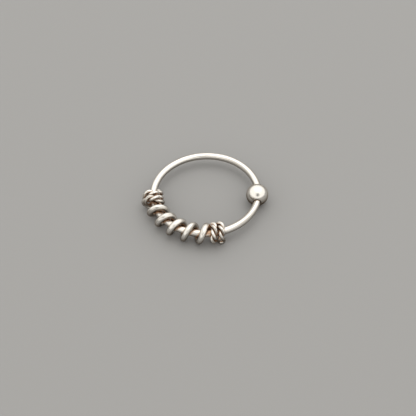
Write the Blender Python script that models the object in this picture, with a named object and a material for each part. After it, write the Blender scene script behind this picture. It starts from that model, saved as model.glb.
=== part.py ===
"""A silver nose ring lying on its side: a wire hoop closed by a drilled ball and dressed with wound wire.

Ring angles run anticlockwise seen from above, from +X, in degrees.
Turn angles run round the hoop wire: 0 faces outward, 90 up, 180 inward and 270 down.
"""

import math
from collections import namedtuple

import bmesh
import bpy
from mathutils import Matrix, Vector

MM = 0.001

# Hoop
HOOP_DIAMETER = 12.0 * MM  # between the middles of the wire
HOOP_WIRE = 0.8 * MM
HOOP_STEPS = 96
END_GAP = 0.3 * MM  # between the wire's two ends, inside the ball

# Ball
BALL_DIAMETER = 2.5 * MM
BALL_ANGLE = -6.4
BALL_SIDES = 16
BALL_INSET = 0.11 * MM  # how far the ball's middle lies inside the hoop's middle circle
FIXED_BORE = 0.88 * MM
MOUTH_BORE = 0.96 * MM  # where the free end of the wire springs in and out

# Coil
COIL_WIRE = 0.7 * MM
COIL_TURNS = 5
COIL_PITCH = 1.59 * MM  # along the hoop's middle
COIL_MIDDLE = 237.15  # ring angle of the middle turn's top
COIL_PLAY = 0.07 * MM  # between the coil and the hoop wire
COIL_SAG = 0.03 * MM  # how far the loose coil has settled
COIL_START_TURN = -0.45  # in turns from the top of the first turn
COIL_END_TURN = 4.29
COIL_STEPS = 24  # for each turn

# Twisted wraps
STRAND_WIRE = 0.36 * MM
STRAND_GAP = 0.03 * MM
WRAP_PITCH = 0.79 * MM  # along the hoop's middle
LEFT_GAP = 1.5 * MM  # from the left wrap's last top to the coil's first
RIGHT_GAP = 1.02 * MM  # from the coil's last top to the right wrap's first
LEFT_PLAY = 0.09 * MM  # between the left wrap and the hoop wire
RIGHT_PLAY = 0.05 * MM
LEFT_SHIFT = 0.065 * MM  # how far outward the left wrap hangs off the hoop wire
RIGHT_SHIFT = 0.0 * MM
LEFT_LAY = 1.84 * MM  # length of one twist of the pair
RIGHT_LAY = 1.58 * MM
POINTS_PER_LAY = 10
TWIST_FADE = 0.25 * MM  # stretch over which the twist dies out before the fold
FOLD_LENGTH = 0.36 * MM  # the left wrap's tight fold
FOLD_HALF_WIDTH = 0.24 * MM
EYE_LENGTH = 0.74 * MM  # the right wrap's fold, which is left open
EYE_HALF_WIDTH = 0.28 * MM
FOLD_POINTS = 7  # on each half

# Where the left wrap's twist stands open
LOOSE_REACH = 0.55 * MM  # along the pair, to each side
LOOSE_SPREAD = 0.11 * MM  # how much further each strand stands from the pair's middle
LOOSE_PUSH = 0.1 * MM  # away from the hoop
LOOSE_SHARE = 0.88  # how much of the twist is missing

# One row for each wrap. hand is 1 where the turns rise on the hoop's outer side and -1 where they fall there.
# Turns are counted from the top of the first whole one. advance is how much quicker than the mean a wrap steps
# along the hoop at the turn angle quick_side. facing turns the fold about the pair, from away from the hoop,
# and lean tips it away from the hoop. loose_turn is where the twist stands open.
Wrap = namedtuple(
    "Wrap",
    "name hand first_turn last_turn play shift lay quick_side advance length half_width facing lean loose_turn",
)
LEFT_WRAP = Wrap(
    name="twist_wrap_left",
    hand=1,
    first_turn=-0.86,
    last_turn=1.4,
    play=LEFT_PLAY,
    shift=LEFT_SHIFT,
    lay=LEFT_LAY,
    quick_side=99.0,
    advance=0.75,
    length=FOLD_LENGTH,
    half_width=FOLD_HALF_WIDTH,
    facing=29.0,
    lean=0.0,
    loose_turn=0.69,
)
RIGHT_WRAP = Wrap(
    name="twist_wrap_right",
    hand=-1,
    first_turn=-0.17,
    last_turn=1.32,
    play=RIGHT_PLAY,
    shift=RIGHT_SHIFT,
    lay=RIGHT_LAY,
    quick_side=225.0,
    advance=2.2,
    length=EYE_LENGTH,
    half_width=EYE_HALF_WIDTH,
    facing=95.0,
    lean=15.0,
    loose_turn=None,
)

HOOP_RADIUS = HOOP_DIAMETER / 2
SILVER = (0.86, 0.84, 0.81, 1.0)


def arc_degrees(length):
    """Ring angle of a length along the hoop's middle."""
    return math.degrees(length / HOOP_RADIUS)


def hoop_frame(angle):
    """Middle of the hoop wire at a ring angle, with the directions outward and up."""
    turn = math.radians(angle)
    outward = Vector((math.cos(turn), math.sin(turn), 0.0))
    return outward * HOOP_RADIUS, outward, Vector((0.0, 0.0, 1.0))


def wound_point(angle, turn_angle, distance):
    """Point at a distance from the hoop's middle line, at a ring angle and a turn angle."""
    middle, outward, up = hoop_frame(angle)
    turn = math.radians(turn_angle)
    return middle + (outward * math.cos(turn) + up * math.sin(turn)) * distance


def silver(name, roughness):
    """A plain silver surface."""
    material = bpy.data.materials.new(name)
    material.use_nodes = True
    shader = material.node_tree.nodes["Principled BSDF"]
    shader.inputs["Base Color"].default_value = SILVER
    shader.inputs["Metallic"].default_value = 1.0
    shader.inputs["Roughness"].default_value = roughness
    return material


def add_to(collection, name, data):
    """A new object of that data in the collection."""
    piece = bpy.data.objects.new(name, data)
    collection.objects.link(piece)
    return piece


def wire(collection, name, points, diameter, resolution):
    """A round wire through the points, with capped ends."""
    curve = bpy.data.curves.new(name, "CURVE")
    curve.dimensions = "3D"
    curve.bevel_depth = diameter / 2
    curve.bevel_resolution = resolution
    curve.use_fill_caps = True
    spline = curve.splines.new("POLY")
    spline.points.add(len(points) - 1)
    for spot, point in zip(spline.points, points):
        spot.co = (*point, 1.0)
    spline.use_smooth = True
    return add_to(collection, name, curve)


def as_mesh(collection, curved):
    """The curve object made a mesh object with welded caps."""
    graph = bpy.context.evaluated_depsgraph_get()
    mesh = bpy.data.meshes.new_from_object(curved.evaluated_get(graph))
    shape = bmesh.new()
    shape.from_mesh(mesh)
    bmesh.ops.remove_doubles(shape, verts=shape.verts, dist=0.001 * MM)
    shape.to_mesh(mesh)
    shape.free()
    name = curved.name
    place = curved.matrix_world.copy()
    bpy.data.objects.remove(curved)
    piece = add_to(collection, name, mesh)
    piece.matrix_world = place
    return piece


def arc_points(start, end, steps):
    """Points on the hoop's middle line between two ring angles."""
    return [hoop_frame(start + (end - start) * step / steps)[0] for step in range(steps + 1)]


def make_hoop(collection):
    """The hoop wire, from its fixed end in the ball round to its free end."""
    half_gap = arc_degrees(END_GAP / 2)
    points = arc_points(BALL_ANGLE + half_gap, BALL_ANGLE + 360.0 - half_gap, HOOP_STEPS)
    return wire(collection, "hoop_wire", points, HOOP_WIRE, 3)


def bore_cutter(collection, name, start, end, diameter):
    """A curved cutter that follows the hoop through part of the ball."""
    cutter = as_mesh(collection, wire(collection, name, arc_points(start, end, 8), diameter, 4))
    cutter.hide_render = True
    cutter.display_type = "WIRE"
    return cutter


def make_ball(collection, cutters):
    """The ball, drilled along the hoop and drilled wider where the free end enters."""
    hoop_middle, outward, up = hoop_frame(BALL_ANGLE)
    middle = hoop_middle - outward * BALL_INSET
    axes = Matrix((up, outward, up.cross(outward))).transposed().to_4x4()
    mesh = bpy.data.meshes.new("ball_bead")
    shape = bmesh.new()
    bmesh.ops.create_uvsphere(
        shape,
        u_segments=BALL_SIDES,
        v_segments=BALL_SIDES,
        radius=BALL_DIAMETER / 2,
        matrix=Matrix.Translation(middle) @ axes,
    )
    bmesh.ops.recalc_face_normals(shape, faces=shape.faces)
    shape.to_mesh(mesh)
    shape.free()
    ball = add_to(collection, "ball_bead", mesh)
    reach = arc_degrees(BALL_DIAMETER * 0.75)
    overlap = arc_degrees(END_GAP / 2)
    fixed_side = bore_cutter(cutters, "fixed_bore", BALL_ANGLE - overlap, BALL_ANGLE + reach, FIXED_BORE)
    mouth_side = bore_cutter(cutters, "mouth_bore", BALL_ANGLE - reach, BALL_ANGLE, MOUTH_BORE)
    for cutter in (fixed_side, mouth_side):
        cut = ball.modifiers.new(cutter.name, "BOOLEAN")
        cut.operation = "DIFFERENCE"
        cut.solver = "EXACT"
        cut.object = cutter
    return ball


def coil_top(turn):
    """Ring angle of the top of one of the coil's turns, the first being 0."""
    return COIL_MIDDLE + arc_degrees(COIL_PITCH) * (turn - (COIL_TURNS - 1) / 2)


def make_coil(collection):
    """The open coil, rising over the hoop's outer side."""
    distance = HOOP_WIRE / 2 + COIL_PLAY + COIL_WIRE / 2
    steps = round((COIL_END_TURN - COIL_START_TURN) * COIL_STEPS)
    points = []
    for step in range(steps + 1):
        turn = COIL_START_TURN + step / COIL_STEPS
        point = wound_point(coil_top(turn), 90.0 + 360.0 * turn, distance)
        point.z -= COIL_SAG
        points.append(point)
    return wire(collection, "coil_wrap", points, COIL_WIRE, 3)


def wrap_angle(wrap, first_top, turn):
    """Ring angle of the pair's middle after some turns."""
    quickest = wrap.hand * (wrap.quick_side - 90.0) / 360.0
    swing = math.sin(math.tau * (turn - quickest)) + math.sin(math.tau * quickest)
    return first_top + arc_degrees(WRAP_PITCH) * (turn + wrap.advance * swing / math.tau)


def pair_distance(wrap):
    """Distance of the pair's middle from the middle of its turns."""
    return HOOP_WIRE / 2 + wrap.play + STRAND_WIRE + STRAND_GAP / 2


def looseness(wrap, turn):
    """How far the twist stands open after some turns, from 0 to 1."""
    if wrap.loose_turn is None:
        return 0.0
    past = (turn - wrap.loose_turn) * math.tau * pair_distance(wrap)
    return math.exp(-((past / LOOSE_REACH) ** 2))


def pair_middle(wrap, first_top, turn):
    """Middle of the twisted pair after some turns."""
    distance = pair_distance(wrap) + LOOSE_PUSH * looseness(wrap, turn)
    angle = wrap_angle(wrap, first_top, turn)
    outward = hoop_frame(angle)[1]
    return wound_point(angle, 90.0 + wrap.hand * 360.0 * turn, distance) + outward * wrap.shift


def pair_axes(wrap, first_top, turn):
    """Directions along the pair, away from the hoop, and square to both."""
    small = 0.001
    ahead = pair_middle(wrap, first_top, turn + small)
    behind = pair_middle(wrap, first_top, turn - small)
    along = (ahead - behind).normalized()
    middle = hoop_frame(wrap_angle(wrap, first_top, turn))[0]
    away = pair_middle(wrap, first_top, turn) - middle
    away = (away - along * away.dot(along)).normalized()
    return along, away, along.cross(away)


def twist_angle(wrap, turn):
    """Direction of the first strand from the pair's middle, turned from away from the hoop."""
    turn_length = math.tau * pair_distance(wrap)
    left = (wrap.last_turn - turn) * turn_length
    twisted = left - TWIST_FADE / 2 if left > TWIST_FADE else left * left / (2 * TWIST_FADE)
    if wrap.loose_turn is not None:
        to_here = math.erf((turn - wrap.loose_turn) * turn_length / LOOSE_REACH)
        to_fold = math.erf((wrap.last_turn - wrap.loose_turn) * turn_length / LOOSE_REACH)
        twisted -= LOOSE_SHARE * LOOSE_REACH * math.sqrt(math.pi) / 2 * (to_fold - to_here)
    return math.radians(wrap.facing) + math.tau * twisted / wrap.lay


def fold_half(wrap, distance, half_turn):
    """How far along and how far aside the fold's wire is, from the last twist (0) to the fold's tip (1)."""
    quarter = half_turn * math.pi / 2
    bulge = (wrap.half_width - 0.59 * distance) / 0.77
    aside = distance * math.cos(quarter) + bulge * math.sin(2 * quarter) * math.sin(quarter)
    return wrap.length * math.sin(quarter), aside


def make_twist_wrap(collection, wrap, first_top):
    """One thin wire, doubled and twisted, wound round the hoop and ending in its fold."""
    strand_distance = (STRAND_WIRE + STRAND_GAP) / 2
    turns = wrap.last_turn - wrap.first_turn
    steps = round(turns * math.tau * pair_distance(wrap) / wrap.lay * POINTS_PER_LAY)
    strands = ([], [])
    for step in range(steps + 1):
        turn = wrap.first_turn + turns * step / steps
        twist = twist_angle(wrap, turn)
        _, away, square = pair_axes(wrap, first_top, turn)
        spread = strand_distance + LOOSE_SPREAD * looseness(wrap, turn)
        offset = (away * math.cos(twist) + square * math.sin(twist)) * spread
        middle = pair_middle(wrap, first_top, turn)
        strands[0].append(middle + offset)
        strands[1].append(middle - offset)
    along, away, square = pair_axes(wrap, first_top, wrap.last_turn)
    facing = math.radians(wrap.facing)
    aside = away * math.cos(facing) + square * math.sin(facing)
    lean = math.tan(math.radians(wrap.lean))
    start = pair_middle(wrap, first_top, wrap.last_turn)
    fold = []
    for step in range(1, 2 * FOLD_POINTS):
        half_turn = 1.0 - abs(step / FOLD_POINTS - 1.0)
        forward, sideways = fold_half(wrap, strand_distance, half_turn)
        side = 1.0 if step < FOLD_POINTS else -1.0
        tipped = away * lean * forward * half_turn
        fold.append(start + along * forward + tipped + aside * sideways * side)
    points = strands[0] + fold + strands[1][::-1]
    return wire(collection, wrap.name, points, STRAND_WIRE, 2)


def seat(parts, cutters):
    """Stand the ring on the floor, with the middle of its footprint over the origin."""
    bpy.context.view_layer.update()
    graph = bpy.context.evaluated_depsgraph_get()
    corners = []
    for piece in parts:
        seen = piece.evaluated_get(graph)
        mesh = seen.to_mesh()
        corners += [seen.matrix_world @ vertex.co for vertex in mesh.vertices]
        seen.to_mesh_clear()
    low = [min(corner[axis] for corner in corners) for axis in range(3)]
    high = [max(corner[axis] for corner in corners) for axis in range(3)]
    ring = bpy.data.objects.new("nose_ring", None)
    parts[0].users_collection[0].objects.link(ring)
    for piece in [*parts, *cutters]:
        piece.parent = ring
    ring.location = (-(low[0] + high[0]) / 2, -(low[1] + high[1]) / 2, -low[2])


def new_collection(name):
    """A collection in the scene."""
    collection = bpy.data.collections.new(name)
    bpy.context.scene.collection.children.link(collection)
    return collection


def main():
    for old in list(bpy.data.objects):
        bpy.data.objects.remove(old)
    parts = new_collection("nose_ring_parts")
    cutters = new_collection("nose_ring_cutters")
    left_last_top = coil_top(0) - arc_degrees(LEFT_GAP)
    left_first_top = left_last_top - math.floor(LEFT_WRAP.last_turn) * arc_degrees(WRAP_PITCH)
    right_first_top = coil_top(COIL_TURNS - 1) + arc_degrees(RIGHT_GAP)
    pieces = [
        make_hoop(parts),
        make_ball(parts, cutters),
        make_coil(parts),
        make_twist_wrap(parts, LEFT_WRAP, left_first_top),
        make_twist_wrap(parts, RIGHT_WRAP, right_first_top),
    ]
    drawn = silver("drawn_silver", 0.28)
    polished = silver("polished_silver", 0.15)
    for piece in pieces:
        piece.data.materials.append(polished if piece.name == "ball_bead" else drawn)
    seat(pieces, cutters.objects)


main()
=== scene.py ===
"""A silver nose ring lying on its side: a wire hoop closed by a drilled ball and dressed with wound wire.

Ring angles run anticlockwise seen from above, from +X, in degrees.
Turn angles run round the hoop wire: 0 faces outward, 90 up, 180 inward and 270 down.
"""

import math
from collections import namedtuple

import bmesh
import bpy
from mathutils import Matrix, Vector
from mathutils.bvhtree import BVHTree


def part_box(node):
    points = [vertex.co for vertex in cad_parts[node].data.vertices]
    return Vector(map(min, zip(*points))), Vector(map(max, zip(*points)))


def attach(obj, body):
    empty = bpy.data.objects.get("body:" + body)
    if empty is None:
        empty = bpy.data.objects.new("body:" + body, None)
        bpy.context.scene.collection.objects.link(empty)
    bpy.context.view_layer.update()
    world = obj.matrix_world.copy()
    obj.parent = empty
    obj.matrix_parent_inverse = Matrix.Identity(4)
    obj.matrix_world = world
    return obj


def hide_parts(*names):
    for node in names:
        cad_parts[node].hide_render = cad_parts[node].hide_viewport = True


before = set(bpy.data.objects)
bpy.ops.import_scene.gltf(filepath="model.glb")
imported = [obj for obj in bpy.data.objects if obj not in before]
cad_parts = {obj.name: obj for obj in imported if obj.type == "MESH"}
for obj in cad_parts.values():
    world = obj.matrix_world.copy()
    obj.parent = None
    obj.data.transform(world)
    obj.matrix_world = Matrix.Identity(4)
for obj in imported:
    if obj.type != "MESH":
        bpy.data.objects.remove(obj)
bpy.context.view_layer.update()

MM = 0.001

# Hoop and ball, as in the part's source
HOOP_DIAMETER = 12.0 * MM
HOOP_WIRE = 0.8 * MM
END_GAP = 0.3 * MM
BALL_DIAMETER = 2.5 * MM
BALL_ANGLE = -6.4
BALL_INSET = 0.11 * MM
FIXED_BORE = 0.88 * MM
MOUTH_BORE = 0.96 * MM

# Coil, as in the part's source
COIL_WIRE = 0.7 * MM
COIL_TURNS = 5
COIL_PITCH = 1.59 * MM
COIL_MIDDLE = 237.15
COIL_PLAY = 0.07 * MM
COIL_SAG = 0.03 * MM
COIL_START_TURN = -0.45
COIL_END_TURN = 4.29

# Twisted wraps, as in the part's source
STRAND_WIRE = 0.36 * MM
STRAND_GAP = 0.03 * MM
WRAP_PITCH = 0.79 * MM
LEFT_GAP = 1.5 * MM
RIGHT_GAP = 1.02 * MM
TWIST_FADE = 0.25 * MM
LOOSE_REACH = 0.55 * MM
LOOSE_SPREAD = 0.11 * MM
LOOSE_PUSH = 0.1 * MM
LOOSE_SHARE = 0.88
Wrap = namedtuple(
    "Wrap",
    "name hand first_turn last_turn play shift lay quick_side advance length half_width facing lean loose_turn",
)
LEFT_WRAP = Wrap(
    name="twist_wrap_left",
    hand=1,
    first_turn=-0.86,
    last_turn=1.4,
    play=0.09 * MM,
    shift=0.065 * MM,
    lay=1.84 * MM,
    quick_side=99.0,
    advance=0.75,
    length=0.36 * MM,
    half_width=0.24 * MM,
    facing=29.0,
    lean=0.0,
    loose_turn=0.69,
)
RIGHT_WRAP = Wrap(
    name="twist_wrap_right",
    hand=-1,
    first_turn=-0.17,
    last_turn=1.32,
    play=0.05 * MM,
    shift=0.0,
    lay=1.58 * MM,
    quick_side=225.0,
    advance=2.2,
    length=0.74 * MM,
    half_width=0.28 * MM,
    facing=95.0,
    lean=15.0,
    loose_turn=None,
)

HOOP_RADIUS = HOOP_DIAMETER / 2
UP = Vector((0.0, 0.0, 1.0))
low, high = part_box("hoop_wire")
RING_MIDDLE = (low + high) / 2

SMALL_TURN = 0.001  # either way, over which a direction along a wrap is taken

# The fold of a wrap where it is widest
FOLD_STRAND_SHARE = 0.59  # of the strands' distance that is left there
FOLD_BULGE_SHARE = 0.77  # of the bulge that is reached there

# Meshing
STEP = 0.07 * MM  # along a wire
WELD_SHARE = 0.05  # of a step, within which the steps' rings are welded
END_SHARE = 0.1  # of a step, within which a ring counts as the wire's end
HOOP_SIDES = 40
COIL_SIDES = 36
STRAND_SIDES = 24
PATH_STEPS = 120  # of a path, for each turn or lay
ARC_STEPS = 480  # of the hoop's path
SMOOTH_ANGLE = math.radians(40.0)
HOOP_END_ROUND = 0.05 * MM
COIL_END_ROUND = 0.08 * MM
STRAND_END_ROUND = 0.04 * MM
BALL_SEGMENTS = 96
BALL_RINGS = 80
BORE_STEPS = 4  # from each rim inwards
BORE_SHARE = 0.9  # of the way to the ball's middle, over which the steps go
RIM_ROUND = 0.035 * MM
RIM_NEAR = 0.002 * MM  # from a rim's plane, within which a point belongs to the rim

# Marks of tarnish and painted shade: in the hollows, and on the sides and undersides
CREVICE_REACH = 0.7 * MM
CREVICE_RAYS = 60
CREVICE_LIFT = 0.004 * MM  # of a ray's start off the surface
CREVICE_FACING = 0.1  # least cosine from the normal at which a ray counts
CREVICE_FAR = 0.5  # what a hit at the full reach counts
SIDE_TILT = 0.55  # how far up a face points where the painted shade of the sides begins
UNDER_TILT = -0.15  # and where it is complete

# Silver
BRIGHT = (0.95, 0.92, 0.865, 1.0)
WORN = (0.58, 0.55, 0.5, 1.0)
TAN = (0.74, 0.5, 0.33, 1.0)
BROWN = (0.18, 0.095, 0.05, 1.0)
# Painted shade: the colour that the sides and undersides are darkened towards
PAINTED_SHADE = (0.12, 0.088, 0.06, 1.0)
EDGE = (0.5, 0.44, 0.38, 1.0)  # tints the metal's shine at a grazing angle
FINE_LINES = (0.3, 13.0, 13.0)  # noise per mm, along the wire and across it
BROAD_LINES = (0.14, 4.2, 4.2)
WIRE_CLOUDS = (0.9, 1.6, 1.6)
SPECKS = (2.4, 7.5, 7.5)
SCRATCHES_ONE_WAY = (900.0, 24000.0, 9000.0)  # noise per metre
SCRATCHES_OTHER_WAY = (15000.0, 1500.0, 20000.0)
BALL_CLOUDS = (1100.0, 1100.0, 1100.0)
NOISE_RANGE = (0.3, 0.7)  # holds most of any noise
STREAK_RANGE = (0.46, 0.66)  # noise at which a streak begins and at which it is complete
NICK_RANGE = (0.74, 0.8)
ONE_WAY_RANGE = (0.66, 0.72)
OTHER_WAY_RANGE = (0.68, 0.74)
# Tan and brown where the metal is closed in: tarnish, and painted shade of the hollows
HOOP_CREVICE = (0.13, 0.4)  # closed-in share where the tan begins and where it is complete
COIL_CREVICE = (0.18, 0.46)
TWIST_CREVICE = (0.22, 0.46)
BALL_CREVICE = (0.22, 0.45)
BROWN_REACH = 0.25  # past the tan, to where the brown is complete
WIRE_SWING = 0.07  # by which the clouds shift the tarnish and painted shade of the hollows to either side
BALL_SWING = 0.06
WIRE_ROUGHNESS = (0.22, 0.38)
BALL_ROUGHNESS = (0.2, 0.3)
WIRE_ROUGH_REACH = 0.2  # past the tan, to where the tarnish is at its roughest
WIRE_TARNISH_ROUGHNESS = 0.25  # added by the tarnish
BALL_ROUGH_CREVICE = (0.25, 0.6)  # closed-in share where that roughness begins and where it is complete
BALL_TARNISH_ROUGHNESS = 0.3
FINE_HEIGHT = 0.6  # share of the line depth
STREAK_HEIGHT = -0.5
STREAK_SHARE = 0.9
NICK_SHARE = 0.5
SCRATCH_SHARE = 0.3
# How strongly the painted shade darkens the sides and undersides
DRAWN_PAINTED_SHADE_SHARE = 0.68
POLISHED_PAINTED_SHADE_SHARE = 0.9
WIRE_LINE_DEPTH = 0.004 * MM
STRAND_LINE_DEPTH = 0.003 * MM
SCRATCH_DEPTH = 0.0012 * MM

# Stage
FLOOR_SIZE = 1.2
FLOOR_COLOUR = (0.33, 0.328, 0.324, 1.0)
FLOOR_ROUGHNESS = 0.9
OVERHEAD_PLACE = (0.05, 0.1, 0.35)
OVERHEAD_SIZE = 0.4
OVERHEAD_POWER = 0.3

# Light tent. The limits are sines of elevation, then cosines of the angle from the camera's direction.
TENT_COLOUR = (1.0, 0.978, 0.94, 1.0)
TENT_FOOT = 0.05
TENT_TOP = 0.3
TENT_DARK = 0.22
TENT_BRIGHT = 1.1
HOLE_EDGE = math.cos(math.radians(22.0))
HOLE_MIDDLE = math.cos(math.radians(6.0))
HOLE_SHARE = 0.1  # of the tent's light that is left there

# Camera, in units of the hoop's radius and pixels of the 416 pixel frame
VIEW_DISTANCE = 10.9563
VIEW_ELEVATION = 47.4023  # degrees
VIEW_ROLL = 2.1944  # degrees
VIEW_SCALE = 52.3404  # pixels for the hoop's radius
VIEW_MIDDLE = (205.6562, 192.5134)
FRAME = 416.0


def arc_degrees(length):
    """Ring angle of a length along the hoop's middle."""
    return math.degrees(length / HOOP_RADIUS)


def hoop_frame(angle):
    """Middle of the hoop wire at a ring angle, with the direction outward."""
    turn = math.radians(angle)
    outward = Vector((math.cos(turn), math.sin(turn), 0.0))
    return RING_MIDDLE + outward * HOOP_RADIUS, outward


def wound_point(angle, turn_angle, distance):
    """Point at a distance from the hoop's middle line, at a ring angle and a turn angle."""
    middle, outward = hoop_frame(angle)
    turn = math.radians(turn_angle)
    return middle + (outward * math.cos(turn) + UP * math.sin(turn)) * distance


def arc_points(start, end, steps):
    """Points on the hoop's middle line between two ring angles."""
    return [hoop_frame(start + (end - start) * step / steps)[0] for step in range(steps + 1)]


def coil_top(turn):
    """Ring angle of the top of one of the coil's turns, the first being 0."""
    return COIL_MIDDLE + arc_degrees(COIL_PITCH) * (turn - (COIL_TURNS - 1) / 2)


def coil_points():
    """Points along the open coil, rising over the hoop's outer side."""
    distance = HOOP_WIRE / 2 + COIL_PLAY + COIL_WIRE / 2
    turns = COIL_END_TURN - COIL_START_TURN
    steps = round(turns * PATH_STEPS)
    points = []
    for step in range(steps + 1):
        turn = COIL_START_TURN + turns * step / steps
        points.append(wound_point(coil_top(turn), 90.0 + 360.0 * turn, distance) - UP * COIL_SAG)
    return points


def wrap_angle(wrap, first_top, turn):
    """Ring angle of the pair's middle after some turns."""
    quickest = wrap.hand * (wrap.quick_side - 90.0) / 360.0
    swing = math.sin(math.tau * (turn - quickest)) + math.sin(math.tau * quickest)
    return first_top + arc_degrees(WRAP_PITCH) * (turn + wrap.advance * swing / math.tau)


def pair_distance(wrap):
    """Distance of the pair's middle from the middle of its turns."""
    return HOOP_WIRE / 2 + wrap.play + STRAND_WIRE + STRAND_GAP / 2


def looseness(wrap, turn):
    """How far the twist stands open after some turns, from 0 to 1."""
    if wrap.loose_turn is None:
        return 0.0
    past = (turn - wrap.loose_turn) * math.tau * pair_distance(wrap)
    return math.exp(-((past / LOOSE_REACH) ** 2))


def pair_middle(wrap, first_top, turn):
    """Middle of the twisted pair after some turns."""
    distance = pair_distance(wrap) + LOOSE_PUSH * looseness(wrap, turn)
    angle = wrap_angle(wrap, first_top, turn)
    outward = hoop_frame(angle)[1]
    return wound_point(angle, 90.0 + wrap.hand * 360.0 * turn, distance) + outward * wrap.shift


def pair_axes(wrap, first_top, turn):
    """Directions along the pair, away from the hoop, and square to both."""
    before, after = (pair_middle(wrap, first_top, turn + shift) for shift in (-SMALL_TURN, SMALL_TURN))
    along = (after - before).normalized()
    middle = hoop_frame(wrap_angle(wrap, first_top, turn))[0]
    away = pair_middle(wrap, first_top, turn) - middle
    away = (away - along * away.dot(along)).normalized()
    return along, away, along.cross(away)


def twist_angle(wrap, turn):
    """Direction of the first strand from the pair's middle, turned from away from the hoop."""
    turn_length = math.tau * pair_distance(wrap)
    left = (wrap.last_turn - turn) * turn_length
    twisted = left - TWIST_FADE / 2 if left > TWIST_FADE else left * left / (2 * TWIST_FADE)
    if wrap.loose_turn is not None:
        to_here = math.erf((turn - wrap.loose_turn) * turn_length / LOOSE_REACH)
        to_fold = math.erf((wrap.last_turn - wrap.loose_turn) * turn_length / LOOSE_REACH)
        twisted -= LOOSE_SHARE * LOOSE_REACH * math.sqrt(math.pi) / 2 * (to_fold - to_here)
    return math.radians(wrap.facing) + math.tau * twisted / wrap.lay


def fold_half(wrap, distance, half_turn):
    """How far along and how far aside the fold's wire is, from the last twist (0) to the fold's tip (1)."""
    quarter = half_turn * math.pi / 2
    bulge = (wrap.half_width - FOLD_STRAND_SHARE * distance) / FOLD_BULGE_SHARE
    aside = distance * math.cos(quarter) + bulge * math.sin(2 * quarter) * math.sin(quarter)
    return wrap.length * math.sin(quarter), aside


def wrap_points(wrap, first_top):
    """Points along the one thin wire of a wrap: down one strand, round the fold and back along the other."""
    strand_distance = (STRAND_WIRE + STRAND_GAP) / 2
    turns = wrap.last_turn - wrap.first_turn
    steps = round(turns * math.tau * pair_distance(wrap) / wrap.lay * PATH_STEPS)
    strands = ([], [])
    for step in range(steps + 1):
        turn = wrap.first_turn + turns * step / steps
        twist = twist_angle(wrap, turn)
        _, away, square = pair_axes(wrap, first_top, turn)
        spread = strand_distance + LOOSE_SPREAD * looseness(wrap, turn)
        offset = (away * math.cos(twist) + square * math.sin(twist)) * spread
        middle = pair_middle(wrap, first_top, turn)
        strands[0].append(middle + offset)
        strands[1].append(middle - offset)
    along, away, square = pair_axes(wrap, first_top, wrap.last_turn)
    facing = math.radians(wrap.facing)
    aside = away * math.cos(facing) + square * math.sin(facing)
    lean = math.tan(math.radians(wrap.lean))
    start = pair_middle(wrap, first_top, wrap.last_turn)
    fold = []
    fold_steps = PATH_STEPS // 2
    for step in range(1, 2 * fold_steps):
        half_turn = 1.0 - abs(step / fold_steps - 1.0)
        forward, sideways = fold_half(wrap, strand_distance, half_turn)
        side = 1.0 if step < fold_steps else -1.0
        tipped = away * lean * forward * half_turn
        fold.append(start + along * forward + tipped + aside * sideways * side)
    return strands[0] + fold + strands[1][::-1]


def pick_nothing():
    """Leave nothing selected."""
    bpy.ops.object.select_all(action="DESELECT")


def pick(piece):
    """Make the piece the only one selected."""
    pick_nothing()
    bpy.context.view_layer.objects.active = piece
    piece.select_set(True)


def select_edges(piece, wanted):
    """Go into edit mode with the wanted edges selected."""
    bpy.ops.object.mode_set(mode="EDIT")
    bpy.ops.mesh.select_mode(type="EDGE")
    bpy.ops.mesh.select_all(action="DESELECT")
    shape = bmesh.from_edit_mesh(piece.data)
    for edge in shape.edges:
        edge.select = wanted(edge)
    bmesh.update_edit_mesh(piece.data)


def straight_wire(name, length, diameter, sides, end_round):
    """A straight round wire along +X, its cut ends a little rounded, that keeps its straight places in mm."""
    steps = max(1, round(length / STEP))
    step_length = length / steps
    pick_nothing()
    bpy.ops.mesh.primitive_circle_add(vertices=sides, radius=diameter / 2, rotation=(0.0, math.pi / 2, 0.0))
    wire = bpy.context.object
    wire.name = name
    bpy.ops.object.transform_apply(location=True, rotation=True, scale=True)
    bpy.ops.object.mode_set(mode="EDIT")
    bpy.ops.mesh.select_all(action="SELECT")
    bpy.ops.mesh.extrude_region_move(TRANSFORM_OT_translate={"value": (step_length, 0.0, 0.0)})
    bpy.ops.object.mode_set(mode="OBJECT")
    array = wire.modifiers.new("length", "ARRAY")
    array.count = steps
    array.use_relative_offset = False
    array.use_constant_offset = True
    array.constant_offset_displace = (step_length, 0.0, 0.0)
    array.use_merge_vertices = True
    array.merge_threshold = step_length * WELD_SHARE
    bpy.ops.object.modifier_apply(modifier=array.name)
    bpy.ops.object.mode_set(mode="EDIT")
    bpy.ops.mesh.select_all(action="SELECT")
    bpy.ops.mesh.fill_holes(sides=0)
    bpy.ops.object.mode_set(mode="OBJECT")
    near = step_length * END_SHARE
    ends = (0.0, length)
    select_edges(wire, lambda edge: any(all(abs(v.co.x - end) < near for v in edge.verts) for end in ends))
    bpy.ops.mesh.bevel(offset=end_round, segments=3, affect="EDGES")
    bpy.ops.mesh.select_all(action="SELECT")
    bpy.ops.mesh.normals_make_consistent(inside=False)
    bpy.ops.object.mode_set(mode="OBJECT")
    places = wire.data.attributes.new("wire_place", "FLOAT_VECTOR", "POINT")
    places.data.foreach_set("vector", [value / MM for vertex in wire.data.vertices for value in vertex.co])
    return wire


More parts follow.
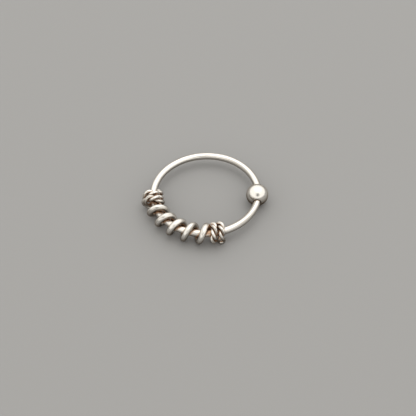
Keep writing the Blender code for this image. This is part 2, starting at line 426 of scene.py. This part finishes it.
def bent_wire(name, points, diameter, sides, end_round):
    """A round wire bent along the points."""
    length = sum((after - before).length for before, after in zip(points, points[1:]))
    wire = straight_wire(name, length, diameter, sides, end_round)
    line = bpy.data.curves.new(name + "_path", "CURVE")
    line.dimensions = "3D"
    line.use_stretch = True
    line.use_deform_bounds = True
    spline = line.splines.new("POLY")
    spline.points.add(len(points) - 1)
    for spot, point in zip(spline.points, points):
        spot.co = (*point, 1.0)
    path = bpy.data.objects.new(name + "_path", line)
    bpy.context.scene.collection.objects.link(path)
    bend = wire.modifiers.new("bend", "CURVE")
    bend.object = path
    pick(wire)
    bpy.ops.object.modifier_apply(modifier=bend.name)
    bpy.data.objects.remove(path)
    bpy.data.curves.remove(line)
    bpy.ops.object.shade_smooth_by_angle(angle=SMOOTH_ANGLE)
    return wire


def drilled_ball():
    """The ball, drilled along the hoop and drilled wider where the free end enters, with softened rims."""
    hoop_middle, outward = hoop_frame(BALL_ANGLE)
    middle = hoop_middle - outward * BALL_INSET
    along = UP.cross(outward)
    axes = Matrix((UP, outward, along)).transposed()
    pick_nothing()
    bpy.ops.mesh.primitive_uv_sphere_add(
        segments=BALL_SEGMENTS,
        ring_count=BALL_RINGS,
        radius=BALL_DIAMETER / 2,
        location=middle,
        rotation=axes.to_euler(),
    )
    ball = bpy.context.object
    ball.name = "closure_ball"
    bpy.ops.object.transform_apply(location=True, rotation=True, scale=True)
    depths = {}

    def along_bore(edge):
        return [(v.co - middle).dot(along) * side for v in edge.verts]

    for side, bore in ((1.0, FIXED_BORE), (-1.0, MOUTH_BORE)):
        ring = round(math.asin(bore / BALL_DIAMETER) / math.pi * BALL_RINGS)
        depth = math.cos(math.pi * ring / BALL_RINGS) * BALL_DIAMETER / 2
        depths[side] = depth
        select_edges(ball, lambda edge: min(along_bore(edge)) > depth + RIM_NEAR)
        bpy.ops.mesh.delete(type="VERT")
        select_edges(ball, lambda edge: edge.is_boundary and min(along_bore(edge)) > 0.0)
        for step in range(BORE_STEPS):
            before, after = (depth * (1.0 - BORE_SHARE * count / BORE_STEPS) for count in (step, step + 1))
            shift = outward * (before**2 - after**2) / HOOP_DIAMETER - along * side * (before - after)
            bpy.ops.mesh.extrude_region_move(TRANSFORM_OT_translate={"value": shift})
    select_edges(ball, lambda edge: edge.is_boundary)
    bpy.ops.mesh.bridge_edge_loops()
    bpy.ops.object.mode_set(mode="OBJECT")

    def on_rim(edge):
        places = [(v.co - middle).dot(along) for v in edge.verts]
        return any(all(abs(place - side * depths[side]) < RIM_NEAR for place in places) for side in depths)

    select_edges(ball, on_rim)
    bpy.ops.mesh.bevel(offset=RIM_ROUND, segments=4, affect="EDGES")
    bpy.ops.mesh.select_all(action="SELECT")
    bpy.ops.mesh.normals_make_consistent(inside=False)
    bpy.ops.object.mode_set(mode="OBJECT")
    bpy.ops.object.shade_smooth_by_angle(angle=SMOOTH_ANGLE)
    return ball


def sphere_directions(count):
    """Directions spread evenly over a sphere."""
    turn = math.pi * (3.0 - math.sqrt(5.0))
    directions = []
    for step in range(count):
        height = 1.0 - (2 * step + 1) / count
        ring = math.sqrt(1.0 - height * height)
        directions.append(Vector((ring * math.cos(turn * step), ring * math.sin(turn * step), height)))
    return directions


def mark_crevices(pieces):
    """Keep on each piece how closed in its points are by the metal around them, for the tarnish and painted
    shade of the hollows, and how far they face down, for the painted shade of the sides and undersides.
    """
    points, faces = [], []
    for piece in pieces:
        first = len(points)
        points += [vertex.co.copy() for vertex in piece.data.vertices]
        faces += [[first + corner for corner in face.vertices] for face in piece.data.polygons]
    tree = BVHTree.FromPolygons(points, faces)
    directions = sphere_directions(CREVICE_RAYS)
    for piece in pieces:
        values, painted_shade_values = [], []
        for vertex in piece.data.vertices:
            normal = vertex.normal
            start = vertex.co + normal * CREVICE_LIFT
            open_sky, blocked = 0.0, 0.0
            for direction in directions:
                facing = normal.dot(direction)
                if facing < CREVICE_FACING:
                    continue
                open_sky += facing
                distance = tree.ray_cast(start, direction, CREVICE_REACH)[3]
                if distance is not None:
                    blocked += facing * (1.0 - (1.0 - CREVICE_FAR) * distance / CREVICE_REACH)
            values.append(blocked / open_sky if open_sky else 0.0)
            # Painted shade: how far the point faces sideways or down
            painted_shade_values.append(min(1.0, max(0.0, (SIDE_TILT - normal.z) / (SIDE_TILT - UNDER_TILT))))
        marks = piece.data.attributes.new("crevice", "FLOAT", "POINT")
        marks.data.foreach_set("value", values)
        marks = piece.data.attributes.new("painted_underside_shade", "FLOAT", "POINT")
        marks.data.foreach_set("value", painted_shade_values)


class Finish:
    """A material whose nodes are added one at a time."""

    def __init__(self, name):
        self.material = bpy.data.materials.new(name)
        self.material.use_nodes = True
        self.tree = self.material.node_tree
        self.shader = self.tree.nodes["Principled BSDF"]

    def node(self, kind, **settings):
        """A node of the kind, with its settings."""
        made = self.tree.nodes.new(kind)
        for name, value in settings.items():
            setattr(made, name, value)
        return made

    def feed(self, socket, value):
        """Join an output to the socket, or set its value."""
        if isinstance(value, bpy.types.NodeSocket):
            self.tree.links.new(value, socket)
        else:
            socket.default_value = value

    def attribute(self, name):
        """The piece's own attribute."""
        return self.node("ShaderNodeAttribute", attribute_name=name)

    def noise(self, place, scale, offset, detail, roughness=0.5):
        """Noise at a place that is stretched by scale and shifted by offset."""
        mapping = self.node("ShaderNodeMapping")
        self.feed(mapping.inputs["Vector"], place)
        mapping.inputs["Scale"].default_value = scale
        mapping.inputs["Location"].default_value = offset
        made = self.node("ShaderNodeTexNoise")
        self.feed(made.inputs["Vector"], mapping.outputs["Vector"])
        made.inputs["Scale"].default_value = 1.0
        made.inputs["Detail"].default_value = detail
        made.inputs["Roughness"].default_value = roughness
        return made.outputs["Fac"]

    def spread(self, value, low, high, low_to=0.0, high_to=1.0):
        """The value between low and high, spread smoothly over another range."""
        made = self.node("ShaderNodeMapRange", interpolation_type="SMOOTHSTEP")
        self.feed(made.inputs["Value"], value)
        made.inputs["From Min"].default_value = low
        made.inputs["From Max"].default_value = high
        made.inputs["To Min"].default_value = low_to
        made.inputs["To Max"].default_value = high_to
        return made.outputs["Result"]

    def joined(self, kind, first, second):
        """Two values put together by adding, multiplying or the like."""
        made = self.node("ShaderNodeMath", operation=kind)
        self.feed(made.inputs[0], first)
        self.feed(made.inputs[1], second)
        return made.outputs["Value"]

    def blend(self, share, first, second):
        """A colour between two."""
        made = self.node("ShaderNodeMix", data_type="RGBA")
        self.feed(made.inputs["Factor"], share)
        self.feed(made.inputs[6], first)
        self.feed(made.inputs[7], second)
        return made.outputs[2]

    def bump(self, height, distance):
        """Fine relief of that depth."""
        made = self.node("ShaderNodeBump")
        self.feed(made.inputs["Height"], height)
        made.inputs["Strength"].default_value = 1.0
        made.inputs["Distance"].default_value = distance
        self.feed(self.shader.inputs["Normal"], made.outputs["Normal"])


def drawn_silver(name, shift, crevice_range, line_depth):
    """Drawn wire: lengthwise lines, small nicks, a warm tarnish with painted shade where the metal is closed
    in, and painted shade on the sides and undersides.
    """
    crevice_low, crevice_high = crevice_range
    finish = Finish(name)
    place = finish.attribute("wire_place").outputs["Vector"]
    crevice = finish.attribute("crevice").outputs["Fac"]
    offset = (shift, shift * 0.7, shift * 1.3)
    fine = finish.noise(place, FINE_LINES, offset, 3.0, 0.6)
    broad = finish.noise(place, BROAD_LINES, offset, 2.0)
    cloud = finish.noise(place, WIRE_CLOUDS, offset, 3.0, 0.6)
    specks = finish.noise(place, SPECKS, offset, 2.0, 0.55)
    streaks = finish.spread(broad, *STREAK_RANGE)
    under = finish.attribute("painted_underside_shade").outputs["Fac"]
    colour = finish.blend(finish.joined("MULTIPLY", streaks, STREAK_SHARE), BRIGHT, WORN)
    # Painted shade: the sides and undersides are darkened
    colour = finish.blend(finish.joined("MULTIPLY", under, DRAWN_PAINTED_SHADE_SHARE), colour, PAINTED_SHADE)
    # Tan and brown where the metal is closed in: tarnish, and painted shade of the hollows
    uneven = finish.joined("ADD", crevice, finish.spread(cloud, *NOISE_RANGE, -WIRE_SWING, WIRE_SWING))
    colour = finish.blend(finish.spread(uneven, crevice_low, crevice_high), colour, TAN)
    browned = finish.spread(uneven, crevice_high, crevice_high + BROWN_REACH)
    colour = finish.blend(browned, colour, BROWN)
    nicks = finish.spread(specks, *NICK_RANGE)
    colour = finish.blend(finish.joined("MULTIPLY", nicks, NICK_SHARE), colour, BROWN)
    finish.feed(finish.shader.inputs["Base Color"], colour)
    rough = finish.spread(fine, *NOISE_RANGE, *WIRE_ROUGHNESS)
    rough_high = crevice_high + WIRE_ROUGH_REACH
    tarnished = finish.spread(uneven, crevice_low, rough_high, 0.0, WIRE_TARNISH_ROUGHNESS)
    rough = finish.joined("ADD", rough, tarnished)
    finish.feed(finish.shader.inputs["Roughness"], rough)
    finish.shader.inputs["Metallic"].default_value = 1.0
    finish.shader.inputs["Specular Tint"].default_value = EDGE
    lines = finish.joined("MULTIPLY", fine, FINE_HEIGHT)
    hollows = finish.joined("MULTIPLY", streaks, STREAK_HEIGHT)
    height = finish.joined("ADD", lines, hollows)
    height = finish.joined("SUBTRACT", height, nicks)
    finish.bump(height, line_depth)
    return finish.material


def polished_silver(name):
    """Polished metal with fine scratches in several directions, a warm tarnish with painted shade at the rims,
    and painted shade on the sides and underside.
    """
    finish = Finish(name)
    place = finish.node("ShaderNodeTexCoord").outputs["Object"]
    crevice = finish.attribute("crevice").outputs["Fac"]
    one_way = finish.noise(place, SCRATCHES_ONE_WAY, (3.0, 1.0, 2.0), 2.0)
    other_way = finish.noise(place, SCRATCHES_OTHER_WAY, (1.0, 5.0, 2.0), 2.0)
    cloud = finish.noise(place, BALL_CLOUDS, (0.0, 0.0, 0.0), 3.0, 0.6)
    some = finish.spread(one_way, *ONE_WAY_RANGE)
    others = finish.spread(other_way, *OTHER_WAY_RANGE)
    scratches = finish.joined("MAXIMUM", some, others)
    under = finish.attribute("painted_underside_shade").outputs["Fac"]
    colour = finish.blend(finish.joined("MULTIPLY", scratches, SCRATCH_SHARE), BRIGHT, WORN)
    # Painted shade: the sides and underside are darkened
    colour = finish.blend(finish.joined("MULTIPLY", under, POLISHED_PAINTED_SHADE_SHARE), colour, PAINTED_SHADE)
    # Tan and brown where the metal is closed in: tarnish, and painted shade of the hollows
    uneven = finish.joined("ADD", crevice, finish.spread(cloud, *NOISE_RANGE, -BALL_SWING, BALL_SWING))
    tan_start, brown_start = BALL_CREVICE
    colour = finish.blend(finish.spread(uneven, tan_start, brown_start), colour, TAN)
    colour = finish.blend(finish.spread(uneven, brown_start, brown_start + BROWN_REACH), colour, BROWN)
    finish.feed(finish.shader.inputs["Base Color"], colour)
    rough = finish.spread(cloud, *NOISE_RANGE, *BALL_ROUGHNESS)
    tarnished = finish.spread(uneven, *BALL_ROUGH_CREVICE, 0.0, BALL_TARNISH_ROUGHNESS)
    rough = finish.joined("ADD", rough, tarnished)
    finish.feed(finish.shader.inputs["Roughness"], rough)
    finish.shader.inputs["Metallic"].default_value = 1.0
    finish.shader.inputs["Specular Tint"].default_value = EDGE
    finish.bump(finish.joined("MULTIPLY", scratches, -1.0), SCRATCH_DEPTH)
    return finish.material


def pale_floor():
    """A plain pale floor under the ring."""
    pick_nothing()
    bpy.ops.mesh.primitive_plane_add(size=FLOOR_SIZE)
    floor = bpy.context.object
    floor.name = "floor"
    finish = Finish("pale_floor")
    finish.shader.inputs["Base Color"].default_value = FLOOR_COLOUR
    finish.shader.inputs["Roughness"].default_value = FLOOR_ROUGHNESS
    floor.data.materials.append(finish.material)


def overhead_light():
    """A round soft light that faces the ring."""
    pick_nothing()
    bpy.ops.object.light_add(type="AREA", location=OVERHEAD_PLACE)
    light = bpy.context.object
    light.name = "overhead"
    light.rotation_euler = (RING_MIDDLE - Vector(OVERHEAD_PLACE)).to_track_quat("-Z", "Y").to_euler()
    light.data.shape = "DISK"
    light.data.size = OVERHEAD_SIZE
    light.data.energy = OVERHEAD_POWER


def towards_camera():
    """Direction from the ring to the photo's camera."""
    elevation = math.radians(VIEW_ELEVATION)
    return Vector((0.0, -math.cos(elevation), math.sin(elevation)))


def photo_camera():
    """The camera at the photo's angle to the ring."""
    focal = VIEW_SCALE * VIEW_DISTANCE
    back = towards_camera()
    side = Vector((1.0, 0.0, 0.0))
    up = back.cross(side)
    roll = math.radians(VIEW_ROLL)
    side, up = side * math.cos(roll) - up * math.sin(roll), side * math.sin(roll) + up * math.cos(roll)
    centred = Matrix((side, up, back)).transposed()
    half = FRAME / 2
    ray = Vector(((VIEW_MIDDLE[0] - half) / focal, -(VIEW_MIDDLE[1] - half) / focal, -1.0))
    turned = ray.rotation_difference(Vector((0.0, 0.0, -1.0))).to_matrix()
    data = bpy.data.cameras.new("camera")
    data.lens = focal / FRAME * data.sensor_width
    data.clip_start = 0.001
    camera = bpy.data.objects.new("camera", data)
    bpy.context.scene.collection.objects.link(camera)
    place = Matrix.Translation(RING_MIDDLE + back * VIEW_DISTANCE * HOOP_RADIUS)
    camera.matrix_world = place @ (centred @ turned).to_4x4()
    bpy.context.scene.camera = camera


def light_tent():
    """A white tent around the ring, darker towards the floor and where the camera looks in."""
    world = bpy.data.worlds.new("studio")
    bpy.context.scene.world = world
    world.use_nodes = True
    nodes, links = world.node_tree.nodes, world.node_tree.links
    place = nodes.new("ShaderNodeTexCoord").outputs["Generated"]
    towards = (UP, towards_camera())
    limits = ((TENT_FOOT, TENT_TOP, TENT_DARK, TENT_BRIGHT), (HOLE_EDGE, HOLE_MIDDLE, 1.0, HOLE_SHARE))
    shares = []
    for direction, (low, high, low_to, high_to) in zip(towards, limits):
        facing = nodes.new("ShaderNodeVectorMath")
        facing.operation = "DOT_PRODUCT"
        links.new(place, facing.inputs[0])
        facing.inputs[1].default_value = direction
        share = nodes.new("ShaderNodeMapRange")
        share.interpolation_type = "SMOOTHSTEP"
        links.new(facing.outputs["Value"], share.inputs["Value"])
        share.inputs["From Min"].default_value = low
        share.inputs["From Max"].default_value = high
        share.inputs["To Min"].default_value = low_to
        share.inputs["To Max"].default_value = high_to
        shares.append(share.outputs["Result"])
    both = nodes.new("ShaderNodeMath")
    both.operation = "MULTIPLY"
    for share, socket in zip(shares, both.inputs):
        links.new(share, socket)
    links.new(both.outputs["Value"], nodes["Background"].inputs["Strength"])
    nodes["Background"].inputs["Color"].default_value = TENT_COLOUR


photo_camera()
pale_floor()
overhead_light()
light_tent()
bpy.context.scene.view_settings.view_transform = "Standard"

half_gap = arc_degrees(END_GAP / 2)
hoop_path = arc_points(BALL_ANGLE + half_gap, BALL_ANGLE + 360.0 - half_gap, ARC_STEPS)
hoop = bent_wire("hoop", hoop_path, HOOP_WIRE, HOOP_SIDES, HOOP_END_ROUND)
ball = drilled_ball()
coil = bent_wire("coil", coil_points(), COIL_WIRE, COIL_SIDES, COIL_END_ROUND)
left_last_top = coil_top(0) - arc_degrees(LEFT_GAP)
left_first_top = left_last_top - math.floor(LEFT_WRAP.last_turn) * arc_degrees(WRAP_PITCH)
right_first_top = coil_top(COIL_TURNS - 1) + arc_degrees(RIGHT_GAP)
left_path = wrap_points(LEFT_WRAP, left_first_top)
left_twist = bent_wire("left_twist", left_path, STRAND_WIRE, STRAND_SIDES, STRAND_END_ROUND)
right_path = wrap_points(RIGHT_WRAP, right_first_top)
right_twist = bent_wire("right_twist", right_path, STRAND_WIRE, STRAND_SIDES, STRAND_END_ROUND)
left_silver = drawn_silver("left_twist_silver", 31.0, TWIST_CREVICE, STRAND_LINE_DEPTH)
right_silver = drawn_silver("right_twist_silver", 53.0, TWIST_CREVICE, STRAND_LINE_DEPTH)
pieces = (
    (hoop, "hoop_wire", drawn_silver("hoop_silver", 0.0, HOOP_CREVICE, WIRE_LINE_DEPTH)),
    (ball, "ball_bead", polished_silver("ball_silver")),
    (coil, "coil_wrap", drawn_silver("coil_silver", 17.0, COIL_CREVICE, WIRE_LINE_DEPTH)),
    (left_twist, LEFT_WRAP.name, left_silver),
    (right_twist, RIGHT_WRAP.name, right_silver),
)
mark_crevices([piece for piece, _, _ in pieces])
for piece, node, material in pieces:
    piece.data.materials.clear()
    piece.data.materials.append(material)
    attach(piece, "root")
    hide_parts(node)

pick_nothing()
